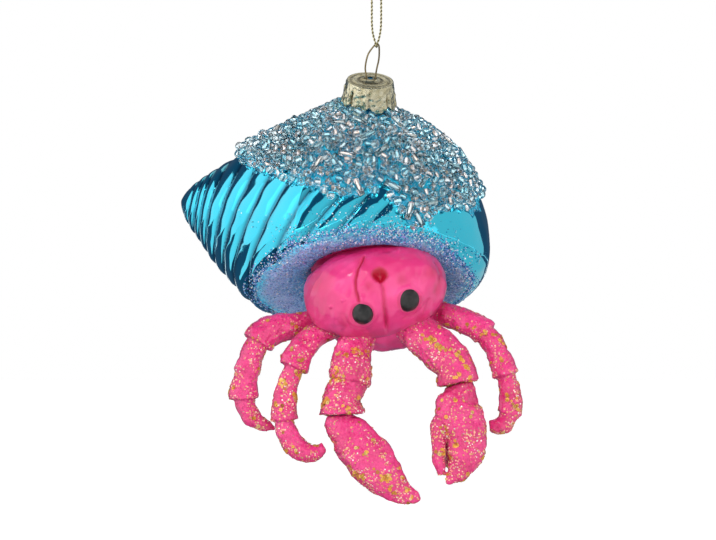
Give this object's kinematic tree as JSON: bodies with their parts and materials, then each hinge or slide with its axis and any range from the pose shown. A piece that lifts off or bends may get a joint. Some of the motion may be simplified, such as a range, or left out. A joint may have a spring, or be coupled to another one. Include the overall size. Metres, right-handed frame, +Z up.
{
  "type": "hermit crab hanging ornament",
  "caption": "Hanging blown glass ornament: a pink clay hermit crab in a silvered turquoise shell with a bead crust, gold cap, wire bow and metallic cord loop.",
  "frame": {"origin": "inside top of the cord loop, just under its knot, where a hook carries the ornament", "axes": "+Z up along the cord, +X to the right and +Y away from the viewer of the crab's face"},
  "size_m": [0.0822, 0.0655, 0.126],
  "materials": {
    "metallic_cord": "twisted gold metallic yarn",
    "spring_wire": "dull gold plated spring wire",
    "gold_cap": "thin pressed sheet with pale gold lacquer",
    "lacquered_glass": "blown glass, silvered inside, clear turquoise lacquer outside",
    "glitter_band": "fine violet and blue glitter in clear glue",
    "glitter_glue": "turquoise glitter glue, glossy",
    "silver_lined_bead": "clear glass beads with a silver lined hole",
    "pink_clay": "glossy varnished pink modelling clay with gold flakes on the limbs",
    "eye_bead": "glossy black half-round bead",
    "clear_glue": "hard resin adhesive"
  },
  "bodies": {
    "hanger": {"hanging_cord": "metallic_cord", "cord_knot": "metallic_cord"},
    "bail": {"bail_wire": "spring_wire"},
    "cap": {"ornament_cap": "gold_cap"},
    "ornament": {"glass_shell": "lacquered_glass", "mouth_glitter_band": "glitter_band", "bead_adhesive": "glitter_glue", "seed_beads": "silver_lined_bead", "bugle_beads": "silver_lined_bead", "mouth_glue": "clear_glue", "crab_body": "pink_clay", "crab_head": "pink_clay", "left_eye": "eye_bead", "right_eye": "eye_bead", "left_arm": "pink_clay", "left_claw": "pink_clay", "right_arm": "pink_clay", "right_claw": "pink_clay", "left_outer_leg": "pink_clay", "left_inner_leg": "pink_clay", "right_leg": "pink_clay"}
  },
  "joints": [
    {"name": "bail_swing", "type": "hinge", "parent": "hanger", "child": "bail", "pos_m": [0, 0, -0.0136], "axis": [1, 0, 0], "range_deg": [-60, 60]},
    {"name": "cap_tilt", "type": "hinge", "parent": "bail", "child": "cap", "pos_m": [-0.00146, 0, -0.0217], "axis": [0.9976, 0, -0.0698], "range_deg": [-8, 8]},
    {"name": "neck_pull", "type": "slide", "parent": "cap", "child": "ornament", "axis": [-0.0647, 0.3746, -0.9249], "range_m": [0, 0.012]}
  ]
}
